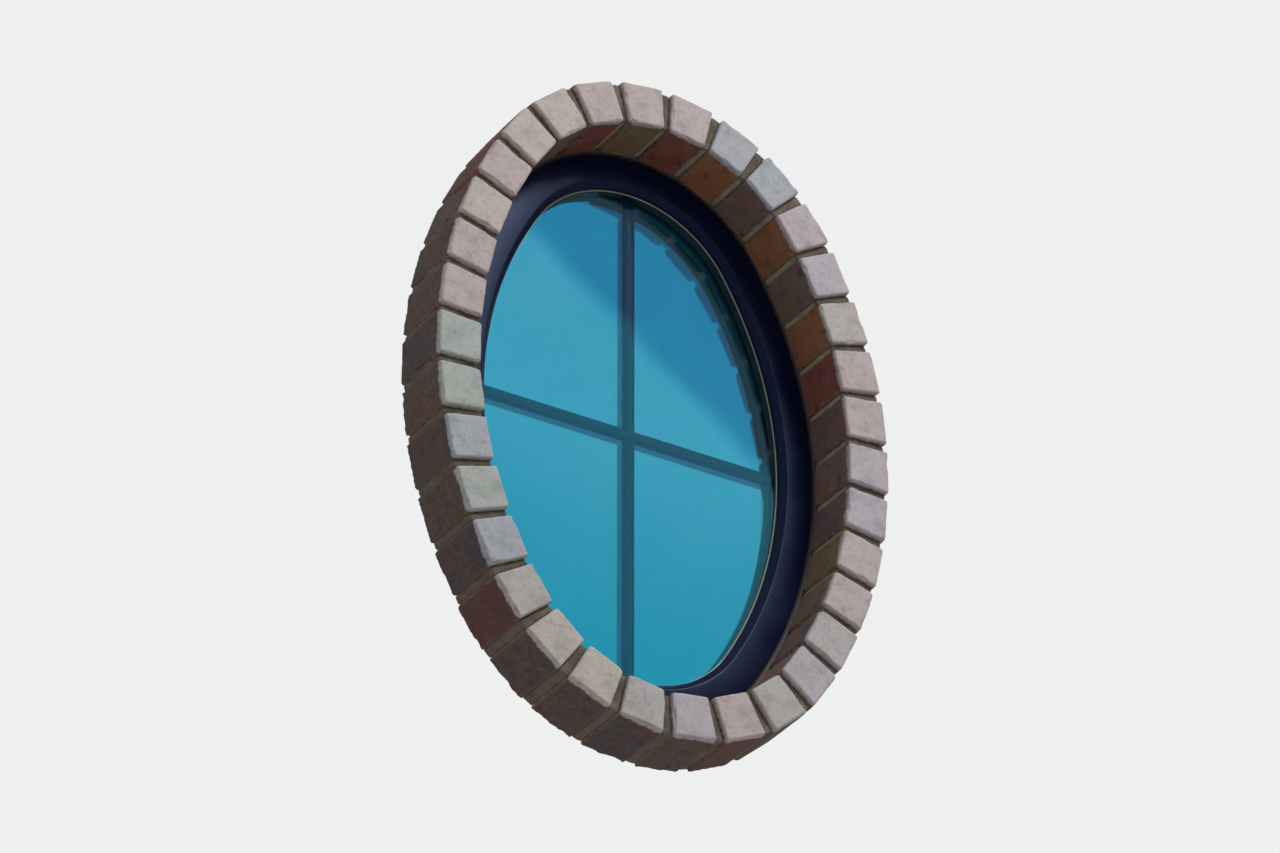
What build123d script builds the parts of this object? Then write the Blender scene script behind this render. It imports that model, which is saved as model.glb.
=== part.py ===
"""Oval fixed window in a projecting ring of bricks.

A clad timber window with insulating glass and a cross of grille bars between the panes, set in an
opening framed by bricks laid on end. The origin is the middle of the window, on the back face of its
nailing fin. X runs to the right seen from outside, Y into the building, Z up. Sizes in millimetres.

The oval is drawn with four arcs about four fixed centres, so every piece runs parallel to the next.
An oval is named by its inset, how far it lies inside the frame's outer edge, and a piece is the space
between two insets and two depths.
"""
import math
import os

from build123d import *

# Window frame
frame_half_width = 297.0
frame_half_height = 455.0
frame_end_radius = 235.0
frame_front = -35.0
frame_depth = 82.5
cladding_wall = 1.6
face_width = 42.0
sight_inset = 51.5
stop_edge_setback = 8.0
stop_underside = -22.0
rebate_inset = 38.0

# Nailing fin
fin_thickness = 1.6
fin_reach = 34.0
fin_leg = 14.0
fin_hole_radius = 2.6
fin_hole_inset_from_edge = 11.0
fin_hole_count = 8

# Insulating glass
pane_thickness = 3.1
glass_gap = 12.7
glass_edge_clearance = 3.0
outer_tape_thickness = 1.6
outer_tape_bite = 11.0
outer_tape_show = 1.5
spacer_width = 10.0

# Grille between the panes
grille_width = 19.0
grille_thickness = 7.0
grille_edge_thickness = 3.2
grille_crown_width = 8.0
grille_wall = 0.8
grille_clip_foot = 3.0
grille_clip_gap = 0.4
grille_clip_plug = 16.0
grille_plug_clearance = 0.15
key_length = 64.0
key_height = 6.0
key_thickness = 1.5

# Setting blocks
block_length = 70.0
block_offset_x = 110.0
edge_block_length = 50.0

# Interior stops
interior_stop_sight = 2.5
interior_stop_depth = 27.0
interior_stop_lip = 5.0
interior_stop_land = 4.5

# Brick ring
joint_to_brick = 7.5
brick_count = 34
brick_bed = 70.0
brick_length = 110.0
ring_projection = 90.0
brick_edge_chamfer = 3.0
mortar_joint = 7.5
mortar_flare = 0.4
mortar_rake_front = 9.0
mortar_rake_side = 0.5

# Perimeter joint
sealant_recess = 1.0
sealant_depth = 8.0
backer_depth = 9.0

# Depths worked out from the sizes above
frame_back = frame_front + frame_depth
pane_1_front = stop_underside + outer_tape_thickness
pane_1_back = pane_1_front + pane_thickness
pane_2_front = pane_1_back + glass_gap
pane_2_back = pane_2_front + pane_thickness
glass_middle = (pane_1_back + pane_2_front) / 2
interior_stop_back = pane_2_back + interior_stop_depth
brick_front = frame_front - ring_projection
brick_back = brick_front + brick_length

# Insets worked out from the sizes above
glass_inset = rebate_inset + glass_edge_clearance
spacer_inset = glass_inset + spacer_width
interior_sight_inset = sight_inset + interior_stop_sight
clip_inset = spacer_inset + grille_clip_gap
bar_end_height = frame_half_height - clip_inset - grille_clip_foot
bar_end_width = frame_half_width - clip_inset - grille_clip_foot
course_inset = -joint_to_brick - brick_bed / 2

# The four fixed centres: one above and one below the middle, one far to each side
end_centre = frame_half_height - frame_end_radius
narrowing = frame_half_width - frame_end_radius
side_centre = (end_centre**2 - narrowing**2) / (2 * narrowing)
side_turn = math.atan2(end_centre, side_centre)


def oval(inset):
    """Oval a given inset inside the frame's outer edge, as a flat face."""
    end = frame_end_radius - inset
    side = frame_half_width - inset + side_centre
    turn = math.degrees(side_turn)
    return make_face([
        CenterArc((-side_centre, 0), side, -turn, 2 * turn),
        CenterArc((0, end_centre), end, turn, 180 - 2 * turn),
        CenterArc((side_centre, 0), side, 180 - turn, 2 * turn),
        CenterArc((0, -end_centre), end, 180 + turn, 180 - 2 * turn),
    ])


def oval_point(inset, share):
    """Point a share of the way round an inset oval, anticlockwise from its foot, and the way out."""
    end = frame_end_radius - inset
    side = frame_half_width - inset + side_centre
    end_length = end * (math.pi / 2 - side_turn)
    quarter, part = divmod(4 * (share % 1), 1)
    if quarter in (1, 3):
        part = 1 - part
    distance = part * (end_length + side * side_turn)
    if distance < end_length:
        centre_x, centre_z, radius = 0, -end_centre, end
        angle = distance / end - math.pi / 2
    else:
        centre_x, centre_z, radius = -side_centre, 0, side
        angle = (distance - end_length) / side - side_turn
    flip_x = 1 if quarter in (0, 1) else -1
    flip_z = 1 if quarter in (0, 3) else -1
    out = (flip_x * math.cos(angle), flip_z * math.sin(angle))
    return (flip_x * centre_x + radius * out[0], flip_z * centre_z + radius * out[1]), out


def at_depth(sketch, depth):
    """Sketch stood upright, facing out, at a depth."""
    return Plane.XZ.offset(-depth) * sketch


def slab(sketch, front, back):
    """Flat sketch given thickness from its front depth to its back depth."""
    return extrude(at_depth(sketch, back), back - front)


def oval_ring(outer, inner, front, back):
    """Ring of straight walls between two insets and two depths."""
    return slab(oval(outer) - oval(inner), front, back)


def arc_share(place):
    """Sector seen from one fixed centre, which takes the head, sill, left or right arc out of a ring."""
    half_turn = math.pi / 2 - side_turn if place in ("head", "sill") else side_turn
    along = 4 * frame_half_height * math.cos(half_turn)
    across = 4 * frame_half_height * math.sin(half_turn)
    if place in ("head", "sill"):
        corners = [(0, end_centre), (-across, end_centre + along), (across, end_centre + along)]
    else:
        far = along - side_centre
        corners = [(0, end_centre), (far, across), (far, -across), (0, -end_centre)]
    sector = make_face(Polyline(*corners, close=True))
    return Rot(0, 0, 180) * sector if place in ("sill", "left") else sector


def oval_core(stations):
    """Solid plug through (depth, inset) stations, with straight sides from each to the next."""
    plug = None
    for (front, inset_1), (back, inset_2) in zip(stations, stations[1:]):
        if inset_1 == inset_2:
            piece = slab(oval(inset_1), front, back)
        else:
            piece = loft([at_depth(oval(inset_1), front), at_depth(oval(inset_2), back)], ruled=True)
        plug = piece if plug is None else plug + piece
    return plug


# Frame
def stop_opening():
    """Opening seen from outside: the sloped glazing stop and the straight lip behind it."""
    return oval_core([
        (frame_front, face_width),
        (frame_front + stop_edge_setback, sight_inset),
        (stop_underside, sight_inset),
    ])


def timber_stop_opening():
    """Opening through the timber's own stop, which backs the cladding's thicker nose on one slope."""
    return oval_core([
        (frame_front + cladding_wall, face_width - cladding_wall / 2),
        (stop_underside, sight_inset - cladding_wall),
    ])


def frame_cladding():
    """Bent aluminium cladding: flat face, sloped glazing stop and the return along the outside."""
    outside = slab(oval(0), frame_front, -fin_thickness)
    timber_room = slab(oval(cladding_wall), frame_front + cladding_wall, -fin_thickness)
    return outside - stop_opening() - (timber_room - timber_stop_opening())


def wood_frame(*places):
    """Arcs of the timber ring under the cladding, with the rebate that the glass sits in."""
    body = slab(oval(cladding_wall), frame_front + cladding_wall, frame_back)
    rebate = slab(oval(rebate_inset), stop_underside, frame_back)
    ring = body - timber_stop_opening() - rebate
    return Compound(children=[ring & slab(arc_share(place), frame_front, frame_back) for place in places])


def nailing_fin():
    """Bent fin with its leg along the frame's side and a row of screw holes round its flange."""
    flange = oval_ring(-fin_reach, cladding_wall, -fin_thickness, 0)
    leg = oval_ring(0, cladding_wall, 0, fin_leg)
    fin = flange + leg
    inset = fin_hole_inset_from_edge - fin_reach
    for k in range(fin_hole_count):
        (x, z), _ = oval_point(inset, (k + 0.5) / fin_hole_count)
        fin -= slab(Pos(x, z) * Circle(fin_hole_radius), -fin_thickness, 0)
    return fin


# Insulating glass
def pane(front):
    """One sheet of glass cut to the oval."""
    return slab(oval(glass_inset), front, front + pane_thickness)


def glazing_tape():
    """Foam tape between the stop and the outer pane, showing as a thin line at the sight edge."""
    inner = sight_inset + outer_tape_show
    return oval_ring(inner - outer_tape_bite, inner, stop_underside, pane_1_front)


def spacer():
    """Flexible butyl spacer strip, which holds the panes apart and seals their edge in one piece."""
    return oval_ring(glass_inset, spacer_inset, pane_1_back, pane_2_front)


def setting_blocks():
    """Blocks in the rebate: two carry the glass from below, two keep it central at the sides."""
    band = oval_ring(rebate_inset, glass_inset, pane_1_front, pane_2_back)
    depth = pane_2_back - pane_1_front
    middle = (pane_1_front + pane_2_back) / 2
    blocks = []
    for side in (-1, 1):
        below = Pos(side * block_offset_x, middle, -frame_half_height / 2)
        blocks.append(band & below * Box(block_length, depth, frame_half_height))
        beside = Pos(side * frame_half_width / 2, middle, 0)
        blocks.append(band & beside * Box(frame_half_width, depth, edge_block_length))
    return Compound(children=blocks)


# Grille
def grille_section(shrink=0.0):
    """Contoured section of a grille bar: a flat crown each side that slopes to a thin edge."""
    edge_x = grille_width / 2
    edge_y = grille_edge_thickness / 2
    crown_x = grille_crown_width / 2
    crown_y = grille_thickness / 2
    corners = [(edge_x, edge_y), (crown_x, crown_y), (-crown_x, crown_y), (-edge_x, edge_y)]
    corners += [(x, -y) for x, y in reversed(corners)]
    section = make_face(Polyline(*corners, close=True))
    if shrink:
        section = offset(section, -shrink, kind=Kind.INTERSECTION)
    return section


def grille_tube(length, shrink=0.0):
    """Upright grille bar, from the middle of the window upwards and downwards by half its length."""
    plane = Plane((0, glass_middle, -length / 2), x_dir=(1, 0, 0), z_dir=(0, 0, 1))
    return extrude(plane * grille_section(shrink), length)


def joiner_key():
    """Flat key through the upright bar, which carries the two side bars."""
    return Pos(0, glass_middle, 0) * Box(key_length, key_thickness, key_height)


def grille_vertical_bar():
    """Upright bar, slotted in the middle for the joiner key."""
    length = 2 * bar_end_height
    return grille_tube(length) - grille_tube(length, grille_wall) - joiner_key()


def grille_side_bar(side):
    """Level bar from the upright bar to the side, coped to the upright bar's contour."""
    reach = 2 * bar_end_width
    turned = Rot(0, 90, 0)
    tube = turned * grille_tube(reach) - turned * grille_tube(reach, grille_wall)
    half = Pos(side * reach / 2, glass_middle, 0) * Box(reach, glass_gap, grille_width)
    return (tube & half) - grille_tube(grille_width * 2)


def grille_clip(direction):
    """Moulded end clip: a foot that springs against the spacer and a plug inside the bar."""
    upright = direction in ("top", "bottom")
    sign = 1 if direction in ("top", "right") else -1
    bar_end = bar_end_height if upright else bar_end_width
    foot_reach = grille_clip_foot * 2
    foot = Pos(0, 0, bar_end + foot_reach / 2) * Box(grille_width, grille_thickness, foot_reach)
    plug_width = grille_crown_width - 2 * grille_wall
    plug_thickness = grille_thickness - 2 * (grille_wall + grille_plug_clearance)
    plug = Pos(0, 0, bar_end - grille_clip_plug / 2) * Box(plug_width, plug_thickness, grille_clip_plug)
    clip = Pos(0, glass_middle, 0) * (Rot(0, 0 if upright else 90, 0) * (foot + plug))
    if sign < 0:
        clip = Rot(0, 180, 0) * clip
    return clip & slab(oval(clip_inset), pane_1_back, pane_2_front)


# Interior stops
def interior_stop(*places):
    """Arcs of the timber stop that holds the glass from inside."""
    outside = slab(oval(rebate_inset), pane_2_back, interior_stop_back)
    opening = oval_core([
        (pane_2_back, interior_sight_inset),
        (pane_2_back + interior_stop_lip, interior_sight_inset),
        (interior_stop_back, rebate_inset + interior_stop_land),
    ])
    ring = outside - opening
    depths = (pane_2_back, interior_stop_back)
    return Compound(children=[ring & slab(arc_share(place), *depths) for place in places])


# Brick ring
def brick_corners(index):
    """Four corners of a ring brick as (x, z): inner start, inner end, outer end, outer start."""
    rows = []
    for reach in (-brick_bed / 2, brick_bed / 2):
        ends = []
        for joint in (index, index + 1):
            (x, z), out = oval_point(course_inset, joint / brick_count)
            ends.append((x + out[0] * reach, z + out[1] * reach))
        rows.append(ends)
    spread = math.dist(*rows[1]) - math.dist(*rows[0])
    corners = []
    for ends, joint_width in zip(rows, (mortar_joint, mortar_joint + mortar_flare * spread)):
        corners.append(between(*ends, joint_width / 2))
        corners.append(between(*reversed(ends), joint_width / 2))
    return [corners[0], corners[1], corners[3], corners[2]]


def between(start, end, distance):
    """Point on the line from start to end, a distance from the start."""
    share = distance / math.dist(start, end)
    return (start[0] + (end[0] - start[0]) * share, start[1] + (end[1] - start[1]) * share)


def brick(index):
    """One brick on end: a tapered block with softened edges, apart from those of its hidden back."""
    block = slab(make_face(Polyline(*brick_corners(index), close=True)), brick_front, brick_back)
    back = block.faces().sort_by(Axis.Y)[-1]
    return chamfer(block.edges() - back.edges(), brick_edge_chamfer)


def mortar_joints():
    """Raked mortar wedges between neighbouring bricks."""
    wedges = []
    for index in range(brick_count):
        _, inner_1, outer_1, _ = brick_corners(index)
        inner_2, _, _, outer_2 = brick_corners((index + 1) % brick_count)
        inset = brick_edge_chamfer + mortar_rake_side
        corners = [
            between(inner_1, outer_1, inset),
            between(inner_2, outer_2, inset),
            between(outer_2, inner_2, inset),
            between(outer_1, inner_1, inset),
        ]
        wedge = make_face(Polyline(*corners, close=True))
        wedges.append(slab(wedge, brick_front + mortar_rake_front, brick_back))
    return Compound(children=wedges)


# Perimeter joint
def brick_opening():
    """Many-sided opening left by the bricks' inner faces."""
    corners = []
    for index in range(brick_count):
        corners += brick_corners(index)[:2]
    return make_face(Polyline(*corners, close=True))


def perimeter_sealant():
    """Bead of sealant between the frame and the bricks."""
    front = frame_front + sealant_recess
    return slab(brick_opening() - oval(0), front, front + sealant_depth)


def backer_rod():
    """Foam rod squeezed into the joint behind the sealant."""
    front = frame_front + sealant_recess + sealant_depth
    return slab(brick_opening() - oval(0), front, front + backer_depth)


pieces = {
    "perimeter_sealant": perimeter_sealant,
    "backer_rod": backer_rod,
    "frame_cladding": frame_cladding,
    "nailing_fin": nailing_fin,
    "glazing_tape": glazing_tape,
    "outer_pane": lambda: pane(pane_1_front),
    "inner_pane": lambda: pane(pane_2_front),
    "spacer": spacer,
    "setting_blocks": setting_blocks,
    "grille_vertical_bar": grille_vertical_bar,
    "grille_left_bar": lambda: grille_side_bar(-1),
    "grille_right_bar": lambda: grille_side_bar(1),
    "grille_centre_key": joiner_key,
    "grille_clip_top": lambda: grille_clip("top"),
    "grille_clip_bottom": lambda: grille_clip("bottom"),
    "grille_clip_left": lambda: grille_clip("left"),
    "grille_clip_right": lambda: grille_clip("right"),
    "mortar_joints": mortar_joints,
}

os.makedirs("parts", exist_ok=True)
for name, make in pieces.items():
    export_step(make(), f"parts/{name}.step")
for name, places in {"ends": ("head", "sill"), "sides": ("left", "right")}.items():
    export_step(wood_frame(*places), f"parts/wood_frame_{name}.step")
    export_step(interior_stop(*places), f"parts/interior_stop_{name}.step")
for number in range(brick_count):
    export_step(brick(number), f"parts/brick_{number + 1:02d}.step")
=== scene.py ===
"""Looks of the oval window in its brick ring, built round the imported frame. Sizes are in metres."""

import functools
import math

import bmesh
import bpy
from mathutils import Matrix, Vector, noise


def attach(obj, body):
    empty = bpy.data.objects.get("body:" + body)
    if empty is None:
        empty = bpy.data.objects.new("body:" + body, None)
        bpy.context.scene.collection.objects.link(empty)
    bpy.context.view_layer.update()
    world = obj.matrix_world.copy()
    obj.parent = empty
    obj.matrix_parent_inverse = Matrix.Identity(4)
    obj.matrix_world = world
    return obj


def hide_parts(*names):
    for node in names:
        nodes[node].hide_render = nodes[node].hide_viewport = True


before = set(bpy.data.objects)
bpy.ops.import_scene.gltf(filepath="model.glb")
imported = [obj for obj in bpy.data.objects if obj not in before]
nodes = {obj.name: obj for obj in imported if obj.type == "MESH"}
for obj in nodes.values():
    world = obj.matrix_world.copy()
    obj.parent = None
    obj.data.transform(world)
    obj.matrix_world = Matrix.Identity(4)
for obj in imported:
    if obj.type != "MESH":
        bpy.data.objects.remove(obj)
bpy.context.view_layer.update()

# Timber frame
# Four arcs of laminated pine, finger-jointed from short lengths, glued end to end into the oval and
# varnished clear. The rebate on the room side takes the glass.
half_width = 0.297
half_height = 0.455
end_radius = 0.235
end_centre = half_height - end_radius
narrowing = half_width - end_radius
side_centre = (end_centre**2 - narrowing**2) / (2 * narrowing)
side_turn = math.atan2(end_centre, side_centre)
side_radius = half_width + side_centre
side_steps = 56
end_turn = math.pi / 2 - side_turn
end_steps = 64
# Centre, radius, start, turn and steps of each arc of the oval, one after the other
arcs = {
    "right": ((-side_centre, 0.0), side_radius, -side_turn, 2 * side_turn, side_steps),
    "head": ((0.0, end_centre), end_radius, side_turn, 2 * end_turn, end_steps),
    "left": ((side_centre, 0.0), side_radius, math.pi - side_turn, 2 * side_turn, side_steps),
    "sill": ((0.0, -end_centre), end_radius, math.pi + side_turn, 2 * end_turn, end_steps),
}
cladding_wall = 0.0016
frame_front = -0.035
frame_depth = 0.0825
frame_back = frame_front + frame_depth
face_width = 0.042
sight_inset = 0.0515
stop_underside = -0.022
rebate_inset = 0.038
timber_front = frame_front + cladding_wall
timber_rounding = 0.003
# Corners as inset from the oval, depth and rounding
timber_section = [
    (cladding_wall, timber_front, 0.0),
    (face_width - cladding_wall / 2, timber_front, 0.0),
    (sight_inset - cladding_wall, stop_underside, 0.0),
    (rebate_inset, stop_underside, 0.0),
    (rebate_inset, frame_back, timber_rounding),
    (cladding_wall, frame_back, timber_rounding),
]
rounding_steps = 4


def swept_run(section, places):
    """Section of (inset, depth, rounding) corners, carried along arcs that follow each other."""
    (centre_x, centre_z), radius, start, _, _ = arcs[places[0]]
    shell = bmesh.new()
    corners = []
    for inset, depth, _ in section:
        reach = radius - inset
        corners.append(shell.verts.new((
            centre_x + reach * math.cos(start), depth, centre_z + reach * math.sin(start),
        )))
    shell.faces.new(corners)
    for size in sorted({rounding for _, _, rounding in section if rounding}):
        rounded = [corner for corner, (_, _, rounding) in zip(corners, section) if rounding == size]
        bmesh.ops.bevel(
            shell, geom=rounded, offset=size, segments=rounding_steps, profile=0.5,
            affect="VERTICES", material=-1,
        )
    whole_round = len(places) == len(arcs)
    outline = shell.faces[:][0]
    swept = list(outline.edges) if whole_round else [outline]
    if whole_round:
        bmesh.ops.delete(shell, geom=[outline], context="FACES_ONLY")
    for place in places:
        (centre_x, centre_z), _, _, turn, steps = arcs[place]
        spun = bmesh.ops.spin(
            shell, geom=swept, cent=(centre_x, 0.0, centre_z), axis=(0.0, -1.0, 0.0),
            angle=turn, steps=steps, use_merge=False,
        )
        swept = [part for part in spun["geom_last"] if not isinstance(part, bmesh.types.BMVert)]
    return shell


def oval_sweep(name, section, *runs):
    """Piece made of one or more runs of the same section."""
    shell = bmesh.new()
    for places in runs:
        run = swept_run(section, places)
        part = bpy.data.meshes.new(name)
        run.to_mesh(part)
        run.free()
        shell.from_mesh(part)
        bpy.data.meshes.remove(part)
    return finish_mesh(shell, name)


seam_weld = 1e-5
smooth_below = math.radians(35)


def finish_mesh(shell, name):
    """Close the seams, turn the faces outwards and hand the mesh over as a new piece."""
    bmesh.ops.remove_doubles(shell, verts=shell.verts, dist=seam_weld)
    bmesh.ops.recalc_face_normals(shell, faces=shell.faces)
    for edge in shell.edges:
        edge.smooth = edge.is_manifold and edge.calc_face_angle() < smooth_below
    for face in shell.faces:
        face.smooth = True
    mesh = bpy.data.meshes.new(name)
    shell.to_mesh(mesh)
    shell.free()
    piece = bpy.data.objects.new(name, mesh)
    bpy.context.scene.collection.objects.link(piece)
    return piece


stave_length = 0.24


def mark_grain(piece, places):
    """Store how far each point lies along its arc, inwards and back, so that the grain can follow."""
    layer = piece.data.attributes.new("along_grain", "FLOAT_VECTOR", "POINT")
    for point, stored in zip(piece.data.vertices, layer.data):
        side = point.co.z if "head" in places else point.co.x
        (centre_x, centre_z), radius, start, turn, _ = arcs[places[0] if side > 0 else places[1]]
        x, z = point.co.x - centre_x, point.co.z - centre_z
        angle = (math.atan2(z, x) - start + math.pi) % (2 * math.pi) - math.pi
        along = angle / turn * stave_length * round(radius * turn / stave_length)
        stored.vector = (along, radius - math.hypot(x, z), point.co.y)


class Finish:
    """A procedural material in the making.

    Most calls add one node and give back its output. The calls feed, tint, roughen and bump lead an
    output into the surface itself.
    """

    def __init__(self, name, **constants):
        self.material = bpy.data.materials.new(name)
        self.material.use_nodes = True
        self.tree = self.material.node_tree
        self.shader = self.tree.nodes["Principled BSDF"]
        for socket, value in constants.items():
            self.shader.inputs[socket.replace("_", " ")].default_value = value

    def add(self, kind, inputs=(), output=0, **settings):
        node = self.tree.nodes.new("ShaderNode" + kind)
        for setting, value in settings.items():
            setattr(node, setting, value)
        for socket, value in dict(inputs).items():
            if isinstance(value, bpy.types.NodeSocket):
                self.tree.links.new(value, node.inputs[socket])
            else:
                node.inputs[socket].default_value = value
        return node.outputs[output]

    def feed(self, socket, output):
        self.tree.links.new(output, self.shader.inputs[socket])

    def place(self):
        return self.add("TexCoord", output="Object")

    def stored(self, name, output="Vector"):
        return self.add("Attribute", attribute_name=name, output=output)

    def stretched(self, vector, factors):
        return self.add("VectorMath", {0: vector, 1: factors}, operation="MULTIPLY")

    def noise(self, vector, size, detail=3.0, rough=0.55):
        return self.add("TexNoise", {
            "Vector": vector, "Scale": 1 / size, "Detail": detail, "Roughness": rough,
        })

    def cells(self, vector, size, output="Distance"):
        return self.add("TexVoronoi", {"Vector": vector, "Scale": 1 / size}, output=output)

    def maths(self, operation, *values):
        return self.add("Math", dict(enumerate(values)), operation=operation)

    def span(self, value, low, high, to_low=0.0, to_high=1.0):
        return self.add("MapRange", {
            "Value": value, "From Min": low, "From Max": high, "To Min": to_low, "To Max": to_high,
        }, interpolation_type="SMOOTHSTEP")

    def mix(self, share, first, second, blend="MIX"):
        colours = {"Factor": share, 6: first, 7: second}
        return self.add("Mix", colours, output=2, data_type="RGBA", blend_type=blend)

    def ramp(self, value, *stops):
        output = self.add("ValToRGB", {"Fac": value})
        elements = output.node.color_ramp.elements
        while len(elements) < len(stops):
            elements.new(1.0)
        for element, (position, colour) in zip(elements, stops):
            element.position = position
            element.color = (*colour, 1.0)
        return output

    def tint(self, value, *stops):
        self.feed("Base Color", self.ramp(value, *stops))

    def roughen(self, value, low, high, to_low, to_high):
        self.feed("Roughness", self.span(value, low, high, to_low, to_high))

    def bump(self, height, depth):
        self.feed("Normal", self.add("Bump", {"Height": height, "Distance": depth, "Strength": 1.0}))


def dress(piece, finish, *replaced, slot=None):
    """Give a piece its finish and let it stand for its nodes of the frame."""
    piece.data.materials.clear()
    piece.data.materials.append(finish.material)
    if replaced:
        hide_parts(*replaced)
    if slot:
        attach(piece, "root")


finger_width = 0.0022
finger_slope = 4.0
glue_share = 0.0022
glue_colour = (0.17, 0.08, 0.03, 1.0)


def varnished_pine(name, length, tones):
    """Pine with growth rings along the piece, finger joints every length, and a satin varnish."""
    wood = Finish(name, Coat_Weight=0.25, Coat_Roughness=0.22, Specular_IOR_Level=0.35)
    along = wood.stored("along_grain")
    parted = wood.add("SeparateXYZ", {"Vector": along}, output="X")
    deep = parted.node.outputs["Z"]
    finger = wood.maths("PINGPONG", deep, finger_width)
    zigzag = wood.maths("MULTIPLY_ADD", finger, finger_slope, parted)
    lengths = wood.maths("DIVIDE", zigzag, length)
    number = wood.maths("FLOOR", lengths)
    inwards = wood.maths("MULTIPLY", number, 0.37)
    shift = wood.add("CombineXYZ", {"X": number, "Y": inwards, "Z": number})
    stave = wood.add("VectorMath", {0: along, 1: shift}, operation="ADD")
    wander = wood.noise(wood.stretched(stave, (1.6, 17.0, 17.0)), 1.0, 2.0)
    wave = wood.maths("SINE", wood.maths("MULTIPLY", wander, 150.0))
    rings = wood.maths("POWER", wood.maths("MULTIPLY_ADD", wave, 0.5, 0.5), 2.2)
    fibre = wood.noise(wood.stretched(stave, (12.0, 620.0, 620.0)), 1.0, 2.0)
    figure = wood.maths("MULTIPLY_ADD", rings, 0.50, wood.maths("MULTIPLY", fibre, 0.50))
    light, mid, dark = tones
    timber = wood.ramp(figure, (0.20, light), (0.42, mid), (0.80, dark))
    per_stave = wood.add("TexWhiteNoise", {"W": number}, noise_dimensions="1D")
    shade = wood.span(per_stave, 0.0, 1.0, 0.80, 1.08)
    grey = wood.add("CombineColor", {0: shade, 1: shade, 2: shade})
    toned = wood.mix(1.0, timber, grey, "MULTIPLY")
    from_joint = wood.maths("PINGPONG", lengths, 0.5)
    glue_line = wood.span(from_joint, 0.0, glue_share, 1.0, 0.0)
    glued = wood.maths("MULTIPLY", glue_line, 0.55)
    wood.feed("Base Color", wood.mix(glued, toned, glue_colour))
    wood.roughen(fibre, 0.2, 0.8, 0.34, 0.5)
    wood.bump(wood.maths("MULTIPLY_ADD", rings, 0.4, fibre), 0.00012)
    return wood


frame_pine = varnished_pine(
    "frame_pine", stave_length, ((0.68, 0.44, 0.20), (0.58, 0.34, 0.135), (0.37, 0.175, 0.06)),
)
arc_pairs = {"ends": ("head", "sill"), "sides": ("right", "left")}
for name, places in arc_pairs.items():
    timber = oval_sweep(f"timber_{name}", timber_section, *[[place] for place in places])
    mark_grain(timber, places)
    dress(timber, frame_pine, f"wood_frame_{name}", slot="pine")

# Outside cladding
# One roll-formed aluminium skin over the timber: a flat face, a sloped glazing stop with a straight
# lip, and a return along the outside. Baked enamel, near black with a blue cast; its sheen is tinted
# blue, a painted sky reflection.
enamel = Finish("baked_enamel", Specular_IOR_Level=0.17, Specular_Tint=(0.34, 0.50, 1.0, 1.0))
surface = enamel.place()
cloud = enamel.noise(surface, 0.11, 4.0)
dust = enamel.noise(surface, 0.012, 6.0, 0.7)
enamel.feed("Base Color", enamel.mix(
    enamel.span(enamel.maths("MULTIPLY", cloud, dust), 0.2, 0.5, 0.0, 0.35),
    (0.0020, 0.0040, 0.0190, 1.0), (0.0080, 0.0110, 0.0290, 1.0),
))
enamel.roughen(cloud, 0.3, 0.7, 0.27, 0.4)
enamel.bump(enamel.noise(surface, 0.0016, 2.0), 0.00003)

stop_edge_setback = 0.008
outer_bend = 0.0014
slope_bend = 0.0012
lip_rounding = 0.0003
arcs_in_order = list(arcs)
skin_section = [
    (0.0, frame_front, outer_bend),
    (face_width, frame_front, slope_bend),
    (sight_inset, frame_front + stop_edge_setback, slope_bend),
    (sight_inset, stop_underside, lip_rounding),
    (sight_inset - cladding_wall, stop_underside, 0.0),
    (face_width - cladding_wall / 2, timber_front, 0.0),
    (cladding_wall, timber_front, 0.0),
    (cladding_wall, -cladding_wall, 0.0),
    (0.0, -cladding_wall, 0.0),
]
skin = oval_sweep("cladding_skin", skin_section, arcs_in_order)
dress(skin, enamel, "frame_cladding", slot="dark_cladding")

# Nailing fin
# Mill-finish aluminium angle round the timber. Its flange is punched for the fixing screws and its
# leg is stapled to the timber.
mill = Finish("mill_aluminium", Metallic=1.0)
surface = mill.place()
patches = mill.noise(surface, 0.03, 4.0)
scratches = mill.noise(mill.stretched(surface, (40.0, 900.0, 900.0)), 1.0, 2.0)
mill.tint(patches, (0.3, (0.56, 0.57, 0.58)), (0.7, (0.72, 0.73, 0.74)))
mill.roughen(scratches, 0.3, 0.7, 0.3, 0.46)
mill.bump(scratches, 0.00003)
dress(nodes["nailing_fin"], mill)

# Setting blocks
# Hard black rubber pads in the rebate. Two carry the glass from below and two keep it central.
block_rubber = Finish("block_rubber", Specular_IOR_Level=0.3)
grit = block_rubber.noise(block_rubber.place(), 0.0015, 3.0)
block_rubber.tint(grit, (0.3, (0.018, 0.018, 0.018)), (0.7, (0.035, 0.035, 0.034)))
block_rubber.roughen(grit, 0.3, 0.7, 0.6, 0.8)
block_rubber.bump(grit, 0.0001)
dress(nodes["setting_blocks"], block_rubber)

# Spacer
# Dark grey butyl strip that holds the panes apart and seals their edge.
butyl = Finish("butyl_strip", Specular_IOR_Level=0.25)
ripple = butyl.noise(butyl.place(), 0.004, 3.0)
butyl.tint(ripple, (0.3, (0.045, 0.048, 0.055)), (0.7, (0.075, 0.078, 0.085)))
butyl.roughen(ripple, 0.3, 0.7, 0.55, 0.75)
butyl.bump(ripple, 0.0001)
dress(nodes["spacer"], butyl)

# Panes
# Two sheets of float glass. The inner one is blue, with a blue-green reflective coating on its face
# between the panes. A painted reflection lies in the coating's colour and the outer pane's sheen,
# with painted shade deeper above a soft slanting edge, lighter below it, and changing with height.
shade_edge_rise = (0.58, 0.0, 0.81)
shade_edge_waviness = 0.05
shade_edge_start = 0.145
shade_edge_end = 0.195
painted_gradient_reach = 0.40


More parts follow.
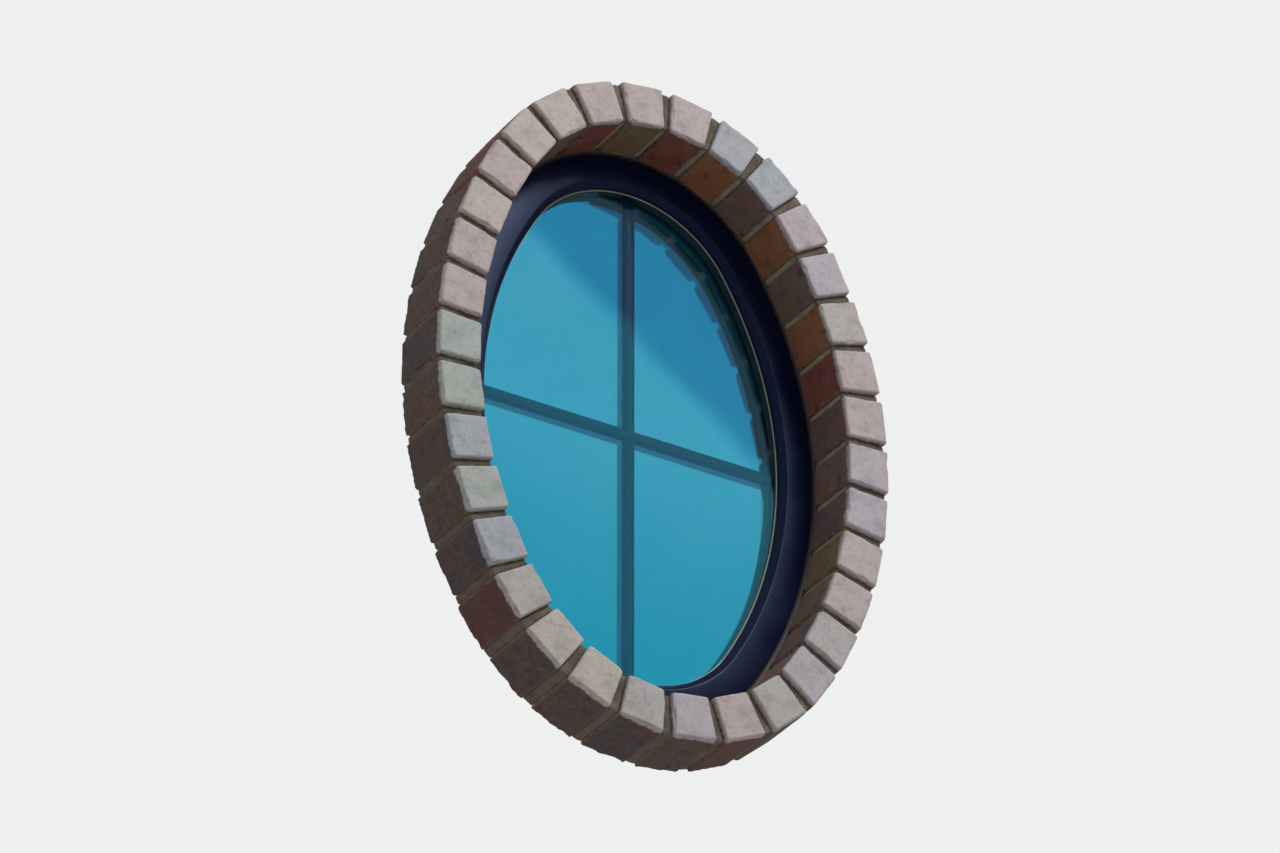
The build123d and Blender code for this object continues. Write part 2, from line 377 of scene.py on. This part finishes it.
def above_painted_shade_edge(glass):
    """1 above the soft slanting edge of the painted shade across the panes, 0 below it."""
    surface = glass.place()
    rise = glass.add("VectorMath", {0: surface, 1: shade_edge_rise}, operation="DOT_PRODUCT", output="Value")
    wavy = glass.maths("MULTIPLY_ADD", glass.noise(surface, 0.26, 2.0), shade_edge_waviness, rise)
    return glass.span(wavy, shade_edge_start, shade_edge_end)


outer_glass = Finish("outer_glass", Transmission_Weight=1.0, IOR=1.62, Roughness=0.0)
# Painted reflection: the outer pane's sheen is cyan below the slanting edge and nearly put out above it
outer_glass.feed("Specular Tint", outer_glass.mix(
    above_painted_shade_edge(outer_glass), (0.04, 0.66, 1.0, 1.0), (0.01, 0.08, 0.16, 1.0),
))
film = outer_glass.noise(outer_glass.place(), 0.15, 4.0)
outer_glass.tint(film, (0.3, (0.58, 0.94, 0.97)), (0.7, (0.66, 0.96, 0.98)))

blue_glass = Finish("blue_glass", Transmission_Weight=1.0, IOR=1.5, Roughness=0.0)
film = blue_glass.noise(blue_glass.place(), 0.15, 4.0)
blue_glass.tint(film, (0.3, (0.10, 0.28, 0.94)), (0.7, (0.14, 0.33, 0.96)))

coating = Finish(
    "mirror_coating", Metallic=0.70, Transmission_Weight=1.0, IOR=1.5,
    Specular_Tint=(0.1, 0.5, 1.0, 1.0),
)
surface = coating.place()
# Painted reflection: the coating's colour changes with height and is deeper above the slanting edge
level = coating.add("SeparateXYZ", {"Vector": surface}, output="Z")
height = coating.span(level, -painted_gradient_reach, painted_gradient_reach)
below = coating.ramp(
    height,
    (0.0, (0.004, 0.305, 0.375)), (0.5, (0.080, 0.400, 0.500)), (1.0, (0.085, 0.375, 0.465)),
)
above = coating.ramp(height, (0.3, (0.020, 0.262, 0.400)), (1.0, (0.005, 0.225, 0.350)))
coating.feed("Base Color", coating.mix(above_painted_shade_edge(coating), below, above))
coating.roughen(coating.noise(surface, 0.3, 2.0), 0.3, 0.7, 0.012, 0.03)
dress(nodes["outer_pane"], outer_glass)
dress(nodes["inner_pane"], blue_glass)
nodes["inner_pane"].data.materials.append(coating.material)
for face in nodes["inner_pane"].data.polygons:
    face.material_index = 1 if face.normal.y < -0.5 else 0

# Grille between the panes
# Contoured aluminium bars, painted dark, crossing at a steel key and ending in nylon clips that
# spring against the spacer.
# The bars' sheen is tinted blue: a painted sky reflection.
bar_paint = Finish("bar_paint", Specular_IOR_Level=0.14, Specular_Tint=(0.1, 0.45, 1.0, 1.0))
surface = bar_paint.place()
settled = bar_paint.noise(surface, 0.02, 3.0)
bar_paint.tint(settled, (0.3, (0.001, 0.012, 0.044)), (0.7, (0.002, 0.018, 0.056)))
bar_paint.roughen(settled, 0.3, 0.7, 0.3, 0.42)
bar_paint.bump(bar_paint.noise(surface, 0.0012, 2.0), 0.00003)
for bar in ("grille_vertical_bar", "grille_left_bar", "grille_right_bar"):
    dress(nodes[bar], bar_paint)

zinc = Finish("zinc_plate", Metallic=1.0)
spangle = zinc.cells(zinc.place(), 0.004, "Color")
zinc.feed("Base Color", zinc.mix(0.12, (0.62, 0.63, 0.64, 1.0), spangle))
zinc.roughen(zinc.noise(zinc.place(), 0.003), 0.3, 0.7, 0.28, 0.42)
dress(nodes["grille_centre_key"], zinc)

nylon = Finish("dark_nylon", Specular_IOR_Level=0.35)
mottle = nylon.noise(nylon.place(), 0.002, 3.0)
nylon.tint(mottle, (0.3, (0.004, 0.012, 0.035)), (0.7, (0.007, 0.02, 0.05)))
nylon.roughen(mottle, 0.3, 0.7, 0.45, 0.6)
for end in ("top", "bottom", "left", "right"):
    dress(nodes[f"grille_clip_{end}"], nylon)

# Glazing tape
# Grey-tan foam tape between the stop and the outer pane. Its edge shows as a thin pale line.
tape_foam = Finish("tape_foam", Specular_IOR_Level=0.2)
pores = tape_foam.cells(tape_foam.place(), 0.0009)
tape_foam.tint(pores, (0.15, (0.17, 0.165, 0.12)), (0.6, (0.37, 0.37, 0.29)))
tape_foam.roughen(pores, 0.0, 0.8, 0.9, 0.7)
tape_foam.bump(pores, 0.0002)
tape_width = 0.011
tape_thickness = 0.0016
tape_showing = 0.0015
tape_rounding = 0.0004
tape_edge = sight_inset + tape_showing
glass_front = stop_underside + tape_thickness
tape_section = [
    (tape_edge - tape_width, stop_underside, 0.0),
    (tape_edge, stop_underside, tape_rounding),
    (tape_edge, glass_front, tape_rounding),
    (tape_edge - tape_width, glass_front, 0.0),
]
tape = oval_sweep("foam_tape", tape_section, arcs_in_order)
dress(tape, tape_foam, "glazing_tape", slot="glazing_tape")

# Interior stops
# Four arcs of pine beading that hold the glass from the room side, splayed for light, each pinned to
# the frame with brads set just below the surface.
# Each stop is bent from one length, so the next finger joint would lie far past its ends
stop_stave_length = 9.0
stop_pine = varnished_pine(
    "stop_pine", stop_stave_length, ((0.66, 0.425, 0.195), (0.56, 0.325, 0.13), (0.36, 0.17, 0.058)),
)
pane_thickness = 0.0031
glass_gap = 0.0127
pane_back = glass_front + pane_thickness + glass_gap + pane_thickness
stop_depth = 0.027
stop_back = pane_back + stop_depth
toe_inset = sight_inset + 0.0025
toe_depth = 0.005
nose_inset = rebate_inset + 0.0045
bearing_rounding = 0.0004
stop_rounding = 0.0016
stop_section = [
    (rebate_inset, pane_back, 0.0),
    (toe_inset, pane_back, bearing_rounding),
    (toe_inset, pane_back + toe_depth, stop_rounding),
    (nose_inset, stop_back, stop_rounding),
    (rebate_inset, stop_back, 0.0),
]
brad_steel = Finish("brad_steel", Metallic=1.0)
tarnish = brad_steel.noise(brad_steel.place(), 0.0008)
brad_steel.tint(tarnish, (0.3, (0.30, 0.27, 0.24)), (0.7, (0.52, 0.50, 0.47)))
brad_steel.roughen(tarnish, 0.3, 0.7, 0.35, 0.55)
brad_radius = 0.0011
brad_taper = 0.9
brad_length = 0.0016
brad_sides = 14
brad_inset = rebate_inset + 0.0095
brad_depth = pane_back + 0.0157
brads_per_arc = {"right": 5, "head": 4, "left": 5, "sill": 4}
splay = math.atan2(toe_inset - nose_inset, stop_depth - toe_depth)
heads = bmesh.new()
for place, count in brads_per_arc.items():
    (centre_x, centre_z), radius, start, turn, _ = arcs[place]
    for index in range(count):
        angle = start + turn * (index + 0.5) / count
        outward = Vector((math.cos(angle), 0.0, math.sin(angle)))
        middle = Vector((centre_x, brad_depth, centre_z)) + outward * (radius - brad_inset)
        facing = Vector((0.0, math.sin(splay), 0.0)) - outward * math.cos(splay)
        turned = facing.to_track_quat("Z", "Y").to_matrix().to_4x4()
        bmesh.ops.create_cone(
            heads, cap_ends=True, segments=brad_sides, radius1=brad_radius * brad_taper,
            radius2=brad_radius, depth=brad_length, matrix=Matrix.Translation(middle) @ turned,
        )
pins = finish_mesh(heads, "stop_brads")
dress(pins, brad_steel)
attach(pins, "root")
for name, places in arc_pairs.items():
    stop = oval_sweep(f"stop_{name}", stop_section, *[[place] for place in places])
    mark_grain(stop, places)
    dress(stop, stop_pine, f"interior_stop_{name}", slot="pine")

# Brick ring
# Tumbled clay bricks on end. Lime wash smeared over the faces leaves each a different pale tint, thin
# where the edges are worn, while the sides keep their bare clay and some mortar from the joints. The
# sides that look out of the ring are darkened in streaks with painted shade.
washes = {
    "pink": (0.450, 0.388, 0.388),
    "cream": (0.465, 0.425, 0.375),
    "grey": (0.415, 0.395, 0.388),
    "lilac": (0.425, 0.385, 0.420),
    "blue": (0.365, 0.385, 0.420),
    "green": (0.380, 0.408, 0.385),
}
clays = {
    "red": (0.200, 0.058, 0.042),
    "orange": (0.290, 0.115, 0.045),
    "olive": (0.190, 0.135, 0.070),
    "brown": (0.175, 0.112, 0.090),
    "plum": (0.135, 0.088, 0.095),
}
ring_washes = (
    "lilac pink grey lilac grey pink pink lilac lilac pink pink grey lilac lilac blue blue pink "
    "pink pink cream cream pink cream pink pink green green blue green blue grey cream cream grey"
).split()
ring_clays = (
    "brown red olive brown plum brown olive plum brown plum red orange brown orange brown orange red "
    "olive red brown orange red brown plum brown plum brown plum brown plum red brown brown plum"
).split()
brick_projection = 0.090
brick_front = frame_front - brick_projection
brick_grain = 0.0025
mortar_colour = (0.330, 0.270, 0.195, 1.0)
# Dark colour of the painted shade on the outer sides of the ring and in the raked joints
painted_shade_colour = (0.050, 0.042, 0.040, 1.0)


@functools.lru_cache(None)
def washed_clay(wash, clay):
    """Clay of one tone under lime of one tint, with painted shade on the sides that look out of the
    ring.
    """
    brick = Finish(f"brick_{clay}_{wash}_wash", Specular_IOR_Level=0.18)
    surface = brick.place()
    blotch = brick.noise(surface, 0.022, 4.0, 0.6)
    sand = brick.noise(surface, 0.0013, 3.0, 0.6)
    grit = brick.cells(surface, 0.0042)
    tone = clays[clay]
    burnt = [channel * 0.45 for channel in tone]
    dusty = [channel * 0.7 + 0.07 for channel in tone]
    bare = brick.ramp(blotch, (0.30, burnt), (0.44, tone), (0.56, tone), (0.72, dusty))
    fired = brick.noise(surface, 0.048, 3.0, 0.6)
    bare = brick.mix(brick.span(fired, 0.50, 0.64, 0.0, 0.65), bare, (0.215, 0.092, 0.056, 1.0))
    bare = brick.mix(brick.span(fired, 0.30, 0.42, 0.55, 0.0), bare, (0.085, 0.060, 0.058, 1.0))
    bare = brick.mix(brick.span(sand, 0.40, 0.72, 0.0, 0.5), bare, (*dusty, 1.0))
    bare = brick.mix(brick.span(grit, 0.0, 0.16, 0.75, 0.0), bare, (*burnt, 1.0))
    patchy = brick.noise(surface, 0.009, 5.0, 0.68)
    uneven = brick.maths("SUBTRACT", patchy, 0.5)
    smear = brick.maths("MULTIPLY_ADD", uneven, 1.5, brick.stored("smear", "Fac"))
    bare = brick.mix(brick.span(smear, 0.40, 0.72, 0.0, 0.6), bare, mortar_colour)
    # Painted shade: the sides that look out of the ring are darkened in streaks
    streaks = brick.span(patchy, 0.25, 0.75, 0.35, 0.85)
    painted_shade_share = brick.maths("MULTIPLY", brick.stored("painted_shade", "Fac"), streaks)
    bare = brick.mix(painted_shade_share, bare, painted_shade_colour)
    tint = washes[wash]
    thin = [channel * 0.74 for channel in tint]
    chalk = [channel * 0.88 + 0.09 for channel in tint]
    lime = brick.ramp(blotch, (0.25, thin), (0.5, tint), (0.78, chalk))
    lime = brick.mix(brick.span(sand, 0.35, 0.7, 0.0, 0.25), lime, (*chalk, 1.0))
    rubbed = brick.noise(surface, 0.0062, 5.0, 0.7)
    lime = brick.mix(brick.span(rubbed, 0.50, 0.72, 0.0, 0.38), lime, bare)
    worn = brick.maths("MULTIPLY_ADD", uneven, 1.1, brick.stored("lime", "Fac"))
    unpitted = brick.span(grit, 0.02, 0.15, 0.55, 1.0)
    covered = brick.maths("MULTIPLY", brick.span(worn, 0.30, 0.62), unpitted)
    brick.feed("Base Color", brick.mix(brick.maths("MULTIPLY", covered, 0.93), bare, lime))
    brick.roughen(sand, 0.2, 0.8, 0.82, 0.96)
    rough = brick.maths("MULTIPLY_ADD", sand, 0.55, brick.maths("MULTIPLY", patchy, 0.9))
    brick.bump(brick.maths("ADD", rough, brick.span(grit, 0.0, 0.2, -0.5, 0.0)), 0.0010)
    return brick


node_weld = 1e-6
flat_within = math.radians(1)


def solid_copy(node):
    """Merged copy of a node's mesh, with its flat faces whole again."""
    shell = bmesh.new()
    shell.from_mesh(nodes[node].data)
    bmesh.ops.remove_doubles(shell, verts=shell.verts, dist=node_weld)
    bmesh.ops.dissolve_limit(shell, angle_limit=flat_within, verts=shell.verts, edges=shell.edges)
    return shell


def regrained(shell, name, grain, turn=0.0):
    """Piece of a shell remeshed into even faces, a grain wide along its turned axes, and its shell."""
    bmesh.ops.rotate(shell, verts=shell.verts, matrix=Matrix.Rotation(-turn, 3, "Y"))
    piece = finish_mesh(shell, name)
    remesh = piece.modifiers.new("grain", "REMESH")
    remesh.mode = "VOXEL"
    remesh.voxel_size = grain
    grown = bpy.data.meshes.new_from_object(piece.evaluated_get(bpy.context.evaluated_depsgraph_get()))
    piece.modifiers.clear()
    piece.data = grown
    grown.name = name
    even = bmesh.new()
    even.from_mesh(grown)
    for _ in range(2):
        bmesh.ops.smooth_vert(
            even, verts=even.verts, factor=0.5, use_axis_x=True, use_axis_y=True, use_axis_z=True,
        )
    bmesh.ops.rotate(even, verts=even.verts, matrix=Matrix.Rotation(turn, 3, "Y"))
    even.normal_update()
    return piece, even


def near(distance, reach):
    """1 at no distance, falling evenly to 0 at the reach."""
    return max(0.0, 1.0 - distance / reach)


def painted_shade_on(side):
    """Share of painted shade for a face that looks outwards from the ring by this cosine."""
    return min(1.0, max(0.0, 2.0 * side - 0.6))


most_lean = 0.012
lean_seed = 34
corner_reach = 0.008
swell_size = 0.034
dimple_size = 0.0085
chip_size = 0.023
ragged_size = 0.007
unchipped = 0.16
settled_reach = 0.02
settled_depth = 0.0012
swell_depth = 0.0008
dimple_depth = 0.0002
chip_depth = 0.0095
outer_lime = 0.16
side_lime = 0.04
full_lime = 1.02
mortar_reach = 0.011


def tumbled_brick(number):
    """Brick with settled faces, rounded and chipped edges, and lime, mortar and painted shade marked.
    """
    name = f"brick_{number:02d}"
    shell = solid_copy(name)
    sides = [
        (face.calc_center_median(), face.normal.copy())
        for face in sorted(shell.faces, key=lambda face: face.calc_area())[-6:]
    ]
    middle = sum((centre for centre, _ in sides), Vector()) / len(sides)
    outward = Vector((middle.x, 0.0, middle.z)).normalized()
    beds = [side for side in sides if abs(side[1].y) < 0.5 and abs(side[1].dot(outward)) < 0.5]
    upright = math.atan2(outward.x, outward.z)
    piece, shell = regrained(shell, f"tumbled_{name}", brick_grain, upright)
    seed = Vector((number * 3.1, number * 1.7, number * 2.3))
    lean = noise.noise_vector(seed) * most_lean
    lime_layer = shell.verts.layers.float.new("lime")
    smear_layer = shell.verts.layers.float.new("smear")
    painted_shade_layer = shell.verts.layers.float.new("painted_shade")
    for point in shell.verts:
        place = point.co + seed
        depths = sorted((centre - point.co).dot(normal) for centre, normal in sides)
        corner = near(depths[1], corner_reach)
        swell = 0.5 + 0.5 * noise.noise(place / swell_size)
        dimple = 0.5 + 0.5 * noise.noise(place / dimple_size)
        ragged = 1.0 + 0.6 * noise.noise(place / ragged_size)
        chip = max(0.0, noise.noise(place / chip_size) - unchipped) * ragged
        front_depth = max(0.0, point.co.y - brick_front)
        settle = near(front_depth, settled_reach) * (settled_depth + (point.co - middle).dot(lean))
        worn = swell_depth * swell + dimple_depth * dimple + chip_depth * chip * corner**2
        side = point.normal.dot(outward)
        bare_lime = outer_lime if side > 0.5 else side_lime
        spill = near(max(0.0, front_depth - 0.002), 0.005 + 0.013 * swell)
        point[lime_layer] = bare_lime + (full_lime - bare_lime) * spill - 0.9 * corner * chip
        # Painted shade on the faces that look out of the ring
        point[painted_shade_layer] = painted_shade_on(side)
        from_bed = min((centre - point.co).dot(normal) for centre, normal in beds)
        point[smear_layer] = 0.45 * near(from_bed, mortar_reach) + (0.20 if side > 0.5 else 0.12)
        point.co -= point.normal * max(0.0, worn + max(0.0, settle))
    shell.to_mesh(piece.data)
    shell.free()
    return piece


noise.seed_set(lean_seed)
for number, (wash, clay) in enumerate(zip(ring_washes, ring_clays), start=1):
    dress(tumbled_brick(number), washed_clay(wash, clay), f"brick_{number:02d}", slot="brick")

# Mortar joints
# Sand and lime mortar, raked back on the face and nearly flush on the sides, rough from the tool.
# Painted shade darkens the raked face of the joints and, in streaks, the sides that look out of the
# ring.
mortar = Finish("joint_mortar", Specular_IOR_Level=0.15)
surface = mortar.place()
damp = mortar.noise(surface, 0.025, 4.0)
grains = mortar.noise(surface, 0.0011, 3.0, 0.65)
stones = mortar.cells(surface, 0.0030)
paste = mortar.ramp(damp, (0.3, (0.235, 0.185, 0.130)), (0.7, (0.390, 0.325, 0.240)))
paste = mortar.mix(mortar.span(grains, 0.4, 0.75, 0.0, 0.5), paste, (0.50, 0.44, 0.35, 1.0))
# Painted shade on the raked face of the joints, fading within a few centimetres behind the brick faces
behind = mortar.add("SeparateXYZ", {"Vector": surface}, output="Y")
from_face = mortar.maths("SUBTRACT", behind, brick_front)
painted_shade_share = mortar.span(mortar.maths("MULTIPLY_ADD", damp, 0.012, from_face), 0.012, 0.028, 0.85, 0.0)
streaks = mortar.span(damp, 0.3, 0.7, 0.55, 0.85)
# Painted shade in streaks where the mortar looks out of the ring
outward_shade = mortar.maths("MULTIPLY", mortar.stored("painted_shade", "Fac"), streaks)
paste = mortar.mix(mortar.maths("MAXIMUM", painted_shade_share, outward_shade), paste, painted_shade_colour)
stony = mortar.span(stones, 0.0, 0.14, 0.6, 0.0)
mortar.feed("Base Color", mortar.mix(stony, paste, (0.12, 0.09, 0.07, 1.0)))
mortar.roughen(grains, 0.2, 0.8, 0.86, 0.98)
mortar.bump(mortar.maths("MULTIPLY_ADD", grains, 0.8, damp), 0.0008)

joint_spread = 0.0014
least_bed_area = 0.004
mortar_grain = 0.0028
drag_size = 0.012
drag_depth = 0.0011
crumb_size = 0.004
crumb_depth = 0.0005
shell = solid_copy("mortar_joints")
bedded = [face for face in shell.faces if face.calc_area() > least_bed_area]
for face in bedded:
    bmesh.ops.translate(shell, verts=face.verts, vec=face.normal * joint_spread)
joints, shell = regrained(shell, "raked_joints", mortar_grain)
painted_shade_layer = shell.verts.layers.float.new("painted_shade")
for point in shell.verts:
    outward = Vector((point.co.x / half_width**2, 0.0, point.co.z / half_height**2)).normalized()
    # Painted shade on the joint faces that look out of the ring
    point[painted_shade_layer] = painted_shade_on(point.normal.dot(outward))
    drag = 0.5 + 0.5 * noise.noise(point.co / drag_size)
    crumb = noise.noise(point.co / crumb_size)
    point.co -= point.normal * (drag_depth * drag + crumb_depth * crumb)
shell.to_mesh(joints.data)
shell.free()
dress(joints, mortar, "mortar_joints", slot="mortar")

# Perimeter joint
# Foam backer rod squeezed between frame and brick, closed with a tooled bead of dark sealant.
backer_foam = Finish("backer_foam", Specular_IOR_Level=0.2)
bubbles = backer_foam.cells(backer_foam.place(), 0.0012)
backer_foam.tint(bubbles, (0.1, (0.36, 0.36, 0.36)), (0.6, (0.55, 0.55, 0.54)))
backer_foam.roughen(bubbles, 0.0, 0.8, 0.9, 0.75)
dress(nodes["backer_rod"], backer_foam)

bead_rubber = Finish("bead_rubber", Specular_IOR_Level=0.3)
surface = bead_rubber.place()
drawn = bead_rubber.noise(surface, 0.006, 3.0)
bead_rubber.tint(drawn, (0.3, (0.020, 0.017, 0.016)), (0.7, (0.040, 0.035, 0.032)))
bead_rubber.roughen(drawn, 0.3, 0.7, 0.45, 0.65)
bead_rubber.bump(drawn, 0.0003)
bead_front = frame_front + 0.001
bead_back = bead_front + 0.008
hollow_floor = bead_front + 0.0012
hollow_rounding = 0.0008
joint_to_brick = 0.0075
bead_section = [
    (0.0, bead_front, 0.0),
    (0.0, bead_back, 0.0),
    (-joint_to_brick, bead_back, 0.0),
    (-joint_to_brick, bead_front, 0.0),
    (-joint_to_brick * 0.72, hollow_floor, hollow_rounding),
    (-joint_to_brick * 0.25, hollow_floor, hollow_rounding),
]
bead = oval_sweep("sealant_bead", bead_section, arcs_in_order)
dress(bead, bead_rubber, "perimeter_sealant", slot="sealant")

# Floor, light and camera
# The window stands at its height above a pale floor, seen from below and from its left, in soft
# light: one large lamp above and in front, and even daylight from all round.
floor_level = -6.2
floor_reach = 90.0
pale = (0.86, 0.865, 0.87, 1.0)
floor_mesh = bmesh.new()
bmesh.ops.create_grid(
    floor_mesh, x_segments=2, y_segments=2, size=floor_reach,
    matrix=Matrix.Translation((0.0, 0.0, floor_level)),
)
floor = finish_mesh(floor_mesh, "floor")
floor_paint = Finish(
    "floor_paint", Roughness=0.9, Base_Color=(0.72, 0.72, 0.72, 1.0), Specular_IOR_Level=0.0,
)
floor_paint.shader.inputs["Emission Color"].default_value = pale
ray_kinds = floor_paint.add("LightPath").node.outputs
seen = ray_kinds["Is Camera Ray"]
for kind in ("Is Glossy Ray", "Is Transmission Ray"):
    seen = floor_paint.maths("MAXIMUM", seen, ray_kinds[kind])
floor_paint.feed("Emission Strength", floor_paint.maths("MULTIPLY", seen, 0.5))
floor.data.materials.append(floor_paint.material)

world = bpy.data.worlds.new("daylight")
bpy.context.scene.world = world
world.use_nodes = True
links = world.node_tree.links
daylight = world.node_tree.nodes["Background"]
daylight.inputs["Color"].default_value = (1.0, 1.0, 1.0, 1.0)
daylight.inputs["Strength"].default_value = 0.55
backdrop = world.node_tree.nodes.new("ShaderNodeBackground")
backdrop.inputs["Color"].default_value = pale
backdrop.inputs["Strength"].default_value = 1.0
path = world.node_tree.nodes.new("ShaderNodeLightPath")
seen = path.outputs["Is Camera Ray"]
for ray in ("Is Glossy Ray", "Is Transmission Ray"):
    either = world.node_tree.nodes.new("ShaderNodeMath")
    either.operation = "MAXIMUM"
    links.new(seen, either.inputs[0])
    links.new(path.outputs[ray], either.inputs[1])
    seen = either.outputs[0]
choice = world.node_tree.nodes.new("ShaderNodeMixShader")
links.new(seen, choice.inputs[0])
links.new(daylight.outputs[0], choice.inputs[1])
links.new(backdrop.outputs[0], choice.inputs[2])
links.new(choice.outputs[0], world.node_tree.nodes["World Output"].inputs[0])

lamp = bpy.data.lights.new("softbox", "AREA")
lamp.shape = "DISK"
lamp.size = 2.2
lamp.energy = 300.0
softbox = bpy.data.objects.new("softbox", lamp)
softbox.location = (1.6, -4.4, 4.6)
softbox.rotation_euler = (-softbox.location).to_track_quat("-Z", "Y").to_euler()
bpy.context.scene.collection.objects.link(softbox)

lens = bpy.data.cameras.new("camera")
lens.lens = 176.0
lens.sensor_width = 36.0
camera = bpy.data.objects.new("camera", lens)
camera.location = (-3.972, -6.525, -4.593)
aim = Vector((0.0, -0.045, 0.0))
camera.rotation_euler = (aim - camera.location).to_track_quat("-Z", "Y").to_euler()
bpy.context.scene.collection.objects.link(camera)
bpy.context.scene.camera = camera
bpy.context.scene.view_settings.view_transform = "Standard"
